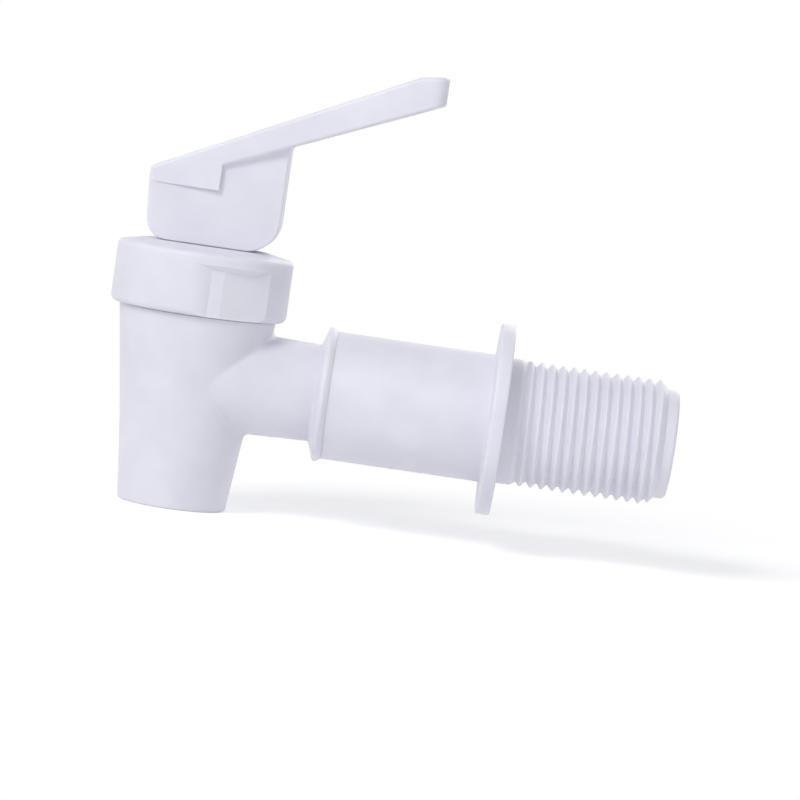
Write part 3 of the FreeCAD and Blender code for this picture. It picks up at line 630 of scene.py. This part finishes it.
class TAP_OT_nipple(bpy.types.Operator):
    """Build the inlet nipple with its helical thread"""
    bl_idname = "lever_tap.nipple"
    bl_label = "Build Inlet Nipple"

    def execute(self, context):
        nipple = settings().nipple
        low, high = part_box("inlet_nipple")
        shape = surface_tree("inlet_nipple")
        flange_radius = high.z
        rim_probe = Vector((low.x, 0, flange_radius - nipple.flange_fillet))
        flange_x = shape.ray_cast(rim_probe, Vector((1, 0, 0)))[0].x
        sleeve_radius = outer_radius(shape, Vector(((low.x + flange_x) / 2, 0, 0)))
        thread_end = THREAD_LENGTH + nipple.run_out
        pilot_radius = outer_radius(shape, Vector(((thread_end + high.x) / 2, 0, 0)))
        socket_end = high.x - BORE_LENGTH
        socket_radius = inner_radius(shape, Vector((low.x + nipple.snap_offset / 2, 0, 0)))
        snap_start = low.x + nipple.snap_offset
        snap_end = snap_start + nipple.snap_width
        snap_radius = inner_radius(shape, Vector(((snap_start + snap_end) / 2, 0, 0)))
        outer = rounded_outline([
            (low.x, socket_radius, 0), (low.x, sleeve_radius, nipple.mouth_edge),
            (flange_x, sleeve_radius, nipple.flange_fillet), (flange_x, flange_radius, nipple.flange_edge),
            (0, flange_radius, nipple.flange_edge), (0, THREAD_RADIUS, 0),
            (nipple.neck, THREAD_RADIUS, 0)], closed=False)
        inner = rounded_outline([
            (thread_end, pilot_radius, 0), (high.x, pilot_radius, nipple.pilot_edge),
            (high.x, BORE_RADIUS, nipple.bore_edge), (socket_end, BORE_RADIUS, 0),
            (socket_end, socket_radius, 0), (snap_end, socket_radius, 0),
            (snap_end - nipple.snap_slope, snap_radius, 0),
            (snap_start + nipple.snap_slope, snap_radius, 0),
            (snap_start, socket_radius, 0), (low.x, socket_radius, 0)], closed=False)
        grid, rows = thread_points(nipple, nipple.neck, thread_end, pilot_radius)
        points = []
        faces = []
        for section_points, section_faces in (
                open_lathe(outer, nipple.segments, about_inlet), (grid, thread_faces(nipple, rows)),
                open_lathe(inner, nipple.segments, about_inlet)):
            faces += [tuple(len(points) + index for index in face) for face in section_faces]
            points += section_points
        obj = mesh_piece("threaded_nipple", points, faces, "tap_body", "white_polypropylene")
        if any(count != 2 for count in mesh_edge_counts(obj)):
            raise RuntimeError("the nipple has open edges")
        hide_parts("inlet_nipple")
        return {"FINISHED"}


def mesh_edge_counts(obj):
    """Number of faces at each edge of a mesh piece."""
    shape = bmesh.new()
    shape.from_mesh(obj.data)
    counts = [len(edge.link_faces) for edge in shape.edges]
    shape.free()
    return counts


class TAP_OT_seat_cup(bpy.types.Operator):
    """Build the seat cup: a plug that rises with the stem and a bell above it, fixed to the body"""
    bl_idname = "lever_tap.seat_cup"
    bl_label = "Build Seat Cup"

    def execute(self, context):
        cup = settings().cup
        low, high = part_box("seat_cup")
        rim = high.y
        shape = surface_tree("seat_cup")
        foot_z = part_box("valve_stem")[0].z
        lip_z = foot_z + cup.foot_height + cup.foot_clearance
        floor_z = lip_z + cup.lip
        plug = outer_radius(shape, Vector((VALVE_X, 0, foot_z)))
        throat = outer_radius(shape, Vector((VALVE_X, 0, CUP_ANCHOR - cup.rim_edge)))
        bend_z = CUP_ANCHOR - cup.bend_drop
        inner_bend_z = CUP_ANCHOR - cup.inner_drop
        pocket_z = foot_z - cup.foot_clearance
        inside = plug - cup.wall
        plug_outline = rounded_outline([
            (cup.hub, low.z, 0), (plug, low.z, cup.plug_edge), (plug, floor_z, 0), (inside, floor_z, 0),
            (cup.waist_radius, floor_z, cup.rim_edge), (cup.waist_radius, lip_z, 0),
            (cup.foot_radius, lip_z, 0), (cup.foot_radius, pocket_z, 0), (cup.hub, pocket_z, 0)])
        points, faces = lathe(plug_outline, cup.segments, about_valve)
        mesh_piece("seat_cup_plug", points, faces, "spring_carrier", "clear_silicone")
        bell_outline = rounded_outline([
            (plug, floor_z, 0), (plug, bend_z, cup.bend), (throat, CUP_ANCHOR, cup.rim_edge),
            (rim, CUP_ANCHOR, cup.rim_edge), (rim, high.z, cup.rim_edge),
            (throat - cup.wall, high.z, cup.rim_edge), (inside, inner_bend_z, cup.bend),
            (inside, floor_z, 0)])
        points, faces = lathe(bell_outline, cup.segments, about_valve)
        obj = mesh_piece("seat_cup_bell", points, faces, "tap_body", "clear_silicone")
        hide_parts("seat_cup")
        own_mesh(obj)
        return {"FINISHED"}


class TAP_OT_return_spring(bpy.types.Operator):
    """Build the return spring as a coil fixed to the body"""
    bl_idname = "lever_tap.return_spring"
    bl_label = "Build Return Spring"

    def execute(self, context):
        spring = settings().spring
        low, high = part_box("return_spring")
        coil_radius = high.y - spring.wire
        bottom = low.z + spring.wire
        rise = high.z - spring.wire - bottom
        open_pitch = (rise - 2 * spring.end_pitch) / (spring.turns - 2)
        points = []
        for step in range(spring.turns * spring.steps + 1):
            turn = step / spring.steps
            close_turns = min(turn, 1) + max(turn - spring.turns + 1, 0)
            z = bottom + close_turns * spring.end_pitch + (turn - close_turns) * open_pitch
            out = Vector((math.cos(math.tau * turn), math.sin(math.tau * turn), 0))
            middle = Vector((VALVE_X, 0, z)) + out * coil_radius
            for corner in range(spring.ring):
                around = math.tau * corner / spring.ring
                offset = out * math.cos(around) + Vector((0, 0, math.sin(around)))
                points.append(middle + spring.wire * offset)
        faces = tube_faces(spring.turns * spring.steps + 1, spring.ring)
        obj = mesh_piece("coil_spring", points, faces, "tap_body", "spring_steel")
        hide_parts("return_spring")
        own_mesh(obj)
        return {"FINISHED"}


def tube_faces(count, ring):
    """Faces of a tube of rings, closed at its two ends."""
    faces = [tuple(range(ring)), tuple((count - 1) * ring + corner for corner in range(ring))]
    for step in range(count - 1):
        for corner in range(ring):
            ahead = (corner + 1) % ring
            near, far = step * ring, (step + 1) * ring
            faces.append((near + corner, near + ahead, far + ahead, far + corner))
    return faces


class TAP_OT_mould_marks(bpy.types.Operator):
    """Add the parting lines and ejector-pin marks that the moulds leave"""
    bl_idname = "lever_tap.mould_marks"
    bl_label = "Add Mould Marks"

    def execute(self, context):
        marks = settings().marks
        body = surface_tree("valve_body")
        low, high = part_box("valve_body")
        bottom = low.z + marks.margin
        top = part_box("bonnet_cap")[0].z - marks.margin
        front = [
            body.ray_cast(Vector((low.x - marks.margin, 0, z)), Vector((1, 0, 0)))[:2]
            for z in spaced(bottom, top, marks.steps)]
        seam("body_parting_line", front, marks)
        start = VALVE_X + marks.stub_start
        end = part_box("inlet_nipple")[0].x - marks.stub_end
        for name, side in (("stub_parting_line_top", 1), ("stub_parting_line_bottom", -1)):
            line = [
                body.ray_cast(Vector((x, 0, side * THREAD_RADIUS)), Vector((0, 0, -side)))[:2]
                for x in spaced(start, end, marks.steps)]
            seam(name, line, marks)
        lever = surface_tree("lever_handle")
        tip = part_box("lever_handle")[1].x
        for row in range(PIN_ROWS):
            for side in (-1, 1):
                x = tip - marks.pin_first - row * marks.pin_step
                below = Vector((x, side * marks.pin_side, PIVOT_Z))
                spot, normal = lever.ray_cast(below, Vector((0, 0, 1)))[:2]
                pin_mark(f"ejector_mark_{row}_{'left' if side < 0 else 'right'}", spot, normal, marks)
        return {"FINISHED"}


def spaced(start, end, steps):
    """Evenly spaced values from start to end."""
    return [start + (end - start) * step / steps for step in range(steps + 1)]


def seam(name, line, marks):
    """Low ridge on the body along surface points and normals in the middle plane."""
    half = marks.width / 2
    points = []
    for spot, normal in line:
        points += [spot + Vector((0, half * u, 0)) + normal * marks.height * v for u, v in SEAM_SECTION]
    faces = tube_faces(len(line), len(SEAM_SECTION))
    return mesh_piece(name, points, faces, "tap_body", "white_polypropylene", SOFT_EDGE)


def pin_mark(name, spot, normal, marks):
    """Raised ring that an ejector pin leaves on the lever."""
    inner = marks.pin_radius - marks.pin_rim
    outer = marks.pin_radius + marks.pin_rim
    half = marks.pin_height / 2
    outline = [
        (inner, -half), (inner, half), (marks.pin_radius, marks.pin_height), (outer, half), (outer, -half)]
    turn = normal.to_track_quat("Z", "Y").to_matrix()

    def on_skin(distance, height, angle):
        return spot + turn @ Vector((distance * math.cos(angle), distance * math.sin(angle), height))

    points, faces = lathe(outline, marks.segments, on_skin)
    return mesh_piece(name, points, faces, "lever", "white_polypropylene", SOFT_EDGE)


class TAP_OT_stage(bpy.types.Operator):
    """Set the floor, the white surroundings, the lamps and the camera"""
    bl_idname = "lever_tap.stage"
    bl_label = "Set Stage"

    def execute(self, context):
        stage = settings().stage
        scene = context.scene
        scene.view_settings.view_transform = "Standard"
        set_world(scene, stage)
        set_floor(stage)
        set_lamps(stage)
        set_camera(scene, stage)
        return {"FINISHED"}


def seen_rays(tree):
    """1 for rays that show the backdrop itself, in the picture, in a gloss or through glass; else 0."""
    rays = add_node(tree, "ShaderNodeLightPath")
    mirrored = add_node(
        tree, "ShaderNodeMath", {"operation": "MAXIMUM"},
        links={0: rays.outputs["Is Glossy Ray"], 1: rays.outputs["Is Transmission Ray"]})
    seen = add_node(
        tree, "ShaderNodeMath", {"operation": "MAXIMUM"},
        links={0: rays.outputs["Is Camera Ray"], 1: mirrored.outputs["Value"]})
    return seen.outputs["Value"]


def set_world(scene, stage):
    """White where it is seen, and a plain level of cool light for the rest."""
    world = bpy.data.worlds.new("white_surroundings")
    world.use_nodes = True
    tree = world.node_tree
    tree.nodes.clear()
    light = add_node(
        tree, "ShaderNodeBackground", values={"Color": (*stage.ambient_tint, 1), "Strength": stage.ambient})
    white = add_node(tree, "ShaderNodeBackground", values={"Color": (1, 1, 1, 1), "Strength": 1.0})
    mixed = add_node(
        tree, "ShaderNodeMixShader",
        links={"Fac": seen_rays(tree), 1: light.outputs["Background"], 2: white.outputs["Background"]})
    output = add_node(tree, "ShaderNodeOutputWorld")
    tree.links.new(mixed.outputs["Shader"], output.inputs["Surface"])
    scene.world = world


def set_floor(stage):
    """Level floor under the spout that keeps the tap's soft shadow and fades to white round it."""
    half = FLOOR_REACH * stage.paper
    mesh = bpy.data.meshes.new("floor")
    mesh.from_pydata(
        [(-half, -half, 0), (half, -half, 0), (half, half, 0), (-half, half, 0)], [], [(0, 1, 2, 3)])
    floor = bpy.data.objects.new("floor", mesh)
    floor.location = (stage.aim_x, 0, FLOOR_Z)
    bpy.context.scene.collection.objects.link(floor)
    # Matt paper: it scatters evenly, so the shadow on it is soft.
    material, tree, output, place = new_material("paper_sweep_matt")
    paper = add_node(tree, "ShaderNodeBsdfDiffuse", values={"Color": (*linear("#F3F3F3"), 1)})
    glow = add_node(
        tree, "ShaderNodeEmission", values={"Color": (1, 1, 1, 1), "Strength": stage.paper_glow})
    lit = add_node(
        tree, "ShaderNodeAddShader", links={0: paper.outputs["BSDF"], 1: glow.outputs["Emission"]})
    white = add_node(tree, "ShaderNodeEmission", values={"Color": (1, 1, 1, 1), "Strength": 1.0})
    reach = add_node(tree, "ShaderNodeVectorMath", {"operation": "LENGTH"}, links={0: place})
    fade = add_node(
        tree, "ShaderNodeMapRange", {"interpolation_type": "SMOOTHSTEP"},
        {"From Min": FADE_START * stage.paper / MM, "From Max": stage.paper / MM},
        {"Value": reach.outputs["Value"]})
    sweep = add_node(
        tree, "ShaderNodeMixShader",
        links={"Fac": fade.outputs["Result"], 1: lit.outputs["Shader"], 2: white.outputs["Emission"]})
    bounce = add_node(
        tree, "ShaderNodeEmission", values={"Color": (1, 1, 1, 1), "Strength": stage.paper_bounce})
    under = add_node(
        tree, "ShaderNodeAddShader", links={0: paper.outputs["BSDF"], 1: bounce.outputs["Emission"]})
    shown = add_node(
        tree, "ShaderNodeMixShader",
        links={"Fac": seen_rays(tree), 1: under.outputs["Shader"], 2: sweep.outputs["Shader"]})
    tree.links.new(shown.outputs["Shader"], output.inputs["Surface"])
    mesh.materials.append(material)


def set_lamps(stage):
    """Soft key at the left front, a weaker, broader fill at the right and a soft lamp behind."""
    aim = Vector((stage.aim_x, 0, stage.aim_z))
    for name, power, place, size in (
            ("key_lamp", stage.key, stage.key_place, stage.key_size),
            ("fill_lamp", stage.fill, stage.fill_place, stage.fill_size),
            ("back_lamp", stage.back, stage.back_place, stage.back_size)):
        data = bpy.data.lights.new(name, "AREA")
        data.shape = "DISK"
        data.size = size
        data.energy = power
        lamp = bpy.data.objects.new(name, data)
        lamp.location = aim + Vector(place)
        lamp.rotation_euler = (-Vector(place)).to_track_quat("-Z", "Y").to_euler()
        bpy.context.scene.collection.objects.link(lamp)


def set_camera(scene, stage):
    """Long lens at the tap's side, a little above it and rolled as the tap leans in the picture."""
    data = bpy.data.cameras.new("camera")
    data.sensor_width = SENSOR_WIDTH
    data.lens = data.sensor_width * stage.distance / stage.frame_width
    data.clip_start = NEAREST
    data.clip_end = FARTHEST
    camera = bpy.data.objects.new("camera", data)
    away = Vector((
        math.sin(stage.azimuth) * math.cos(stage.elevation),
        -math.cos(stage.azimuth) * math.cos(stage.elevation), math.sin(stage.elevation)))
    aim = Vector((stage.aim_x, 0, stage.aim_z))
    turn = (-away).to_track_quat("-Z", "Y").to_matrix() @ Matrix.Rotation(stage.roll, 3, "Z")
    camera.matrix_world = Matrix.Translation(aim + away * stage.distance) @ turn.to_4x4()
    scene.collection.objects.link(camera)
    scene.camera = camera


STEPS = (
    TAP_OT_mouldings, TAP_OT_inner_parts, TAP_OT_nipple, TAP_OT_seat_cup,
    TAP_OT_return_spring, TAP_OT_mould_marks, TAP_OT_stage)


class TAP_PT_steps(bpy.types.Panel):
    """Steps that finish the tap"""
    bl_idname = "TAP_PT_steps"
    bl_label = "Lever Tap"
    bl_space_type = "VIEW_3D"
    bl_region_type = "UI"
    bl_category = "Lever Tap"

    def draw(self, context):
        for step in STEPS:
            self.layout.operator(step.bl_idname)


CLASSES = (
    NippleSettings, CupSettings, SpringSettings, MarkSettings, FinishSettings, StageSettings, TapSettings,
    *STEPS, TAP_PT_steps)


def register():
    """Register the classes and the scene's settings."""
    for cls in CLASSES:
        bpy.utils.register_class(cls)
    bpy.types.Scene.lever_tap = bpy.props.PointerProperty(
        type=TapSettings, name="Lever Tap", description="Settings of the lever tap")


def unregister():
    """Remove the settings and the classes."""
    del bpy.types.Scene.lever_tap
    for cls in reversed(CLASSES):
        bpy.utils.unregister_class(cls)


def main():
    """Build the tap's looks in order."""
    register()
    for step in STEPS:
        group, name = step.bl_idname.split(".")
        getattr(getattr(bpy.ops, group), name)()


if __name__ == "__main__":
    main()
